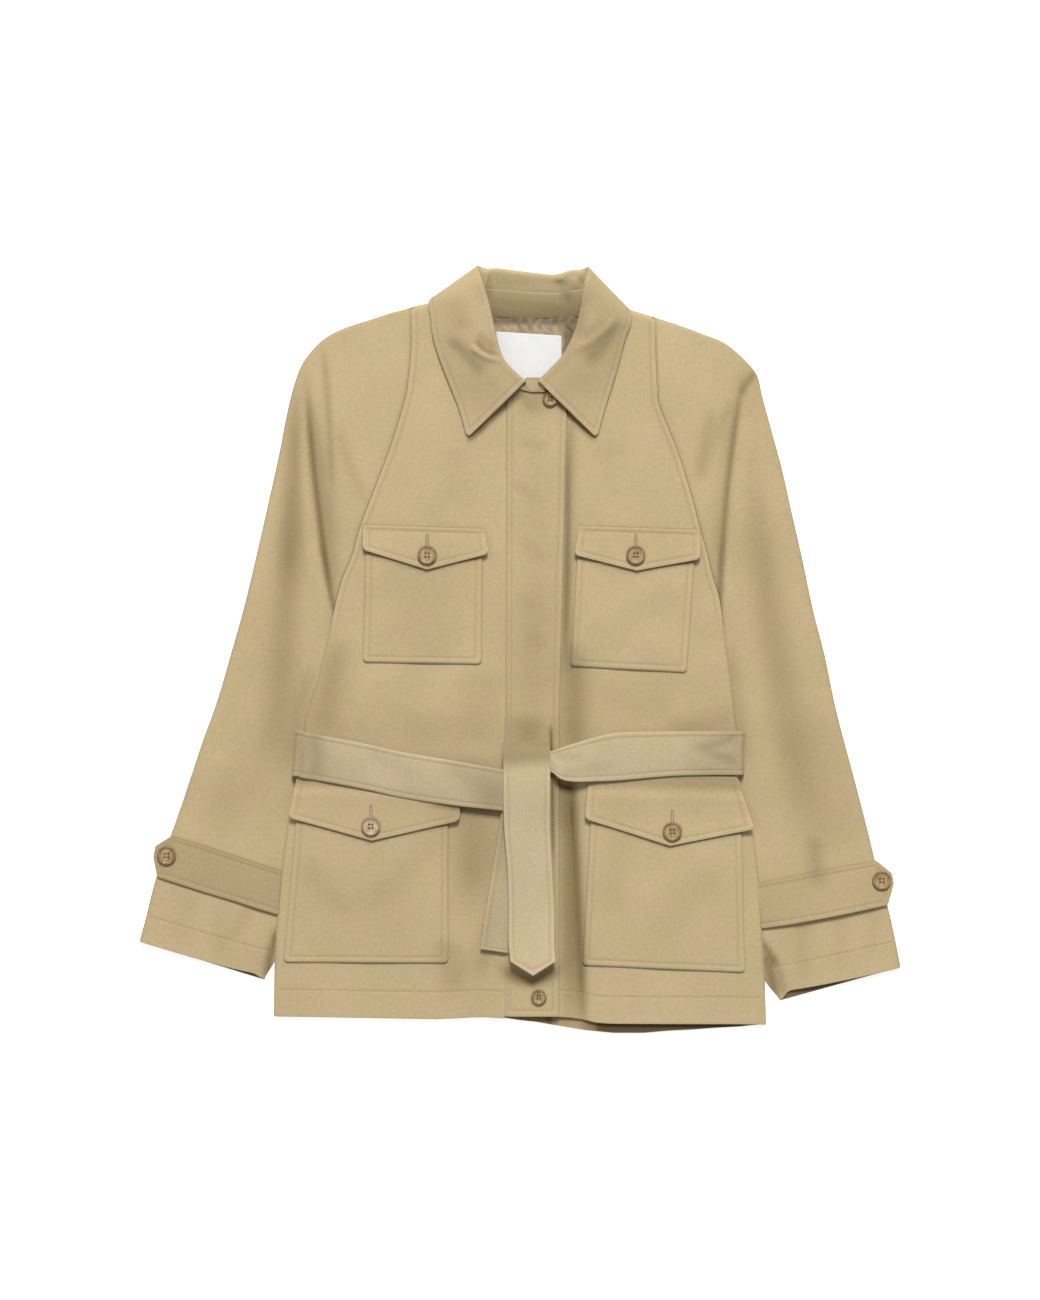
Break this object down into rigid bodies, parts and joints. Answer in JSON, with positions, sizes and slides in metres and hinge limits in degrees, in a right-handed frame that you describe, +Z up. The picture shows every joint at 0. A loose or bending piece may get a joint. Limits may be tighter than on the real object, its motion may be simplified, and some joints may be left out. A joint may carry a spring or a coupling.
{
  "type": "belted light jacket",
  "caption": "Khaki belted light jacket laid out flat on its back: raglan sleeves, shirt collar, covered button placket, flapped patch pockets and buttoned cuff straps.",
  "frame": {"origin": "centre of the bounding box in X and Y, on the surface that the jacket lies on", "axes": "+Z up out of the front of the jacket, +Y towards the collar, +X towards the wearer's left"},
  "size_m": [0.732, 0.7378, 0.0252],
  "materials": {
    "shell_cloth": "matte khaki cotton twill",
    "lining": "grey-tan plain lining",
    "label": "bare white woven label",
    "button": "brown horn-effect"
  },
  "bodies": {
    "root": {"back": "shell_cloth", "front_right": "shell_cloth", "front_left": "shell_cloth", "placket": "shell_cloth", "sleeve_right": "shell_cloth", "sleeve_left": "shell_cloth", "collar_stand": "shell_cloth", "collar_leaf": "shell_cloth", "neck_lining": "lining", "neck_label": "label", "chest_pocket_right": "shell_cloth", "chest_pocket_left": "shell_cloth", "chest_flap_right": "shell_cloth", "chest_flap_left": "shell_cloth", "hip_pocket_right": "shell_cloth", "hip_pocket_left": "shell_cloth", "hip_flap_right": "shell_cloth", "hip_flap_left": "shell_cloth", "belt_run_right": "shell_cloth", "belt_run_left": "shell_cloth", "belt_back": "shell_cloth", "belt_end": "shell_cloth", "belt_tail": "shell_cloth", "cuff_tab_right": "shell_cloth", "cuff_tab_left": "shell_cloth", "button_neck": "button", "button_hem": "button", "button_chest_right": "button", "button_chest_left": "button", "button_hip_right": "button", "button_hip_left": "button", "button_cuff_right": "button", "button_cuff_left": "button"}
  },
  "joints": []
}
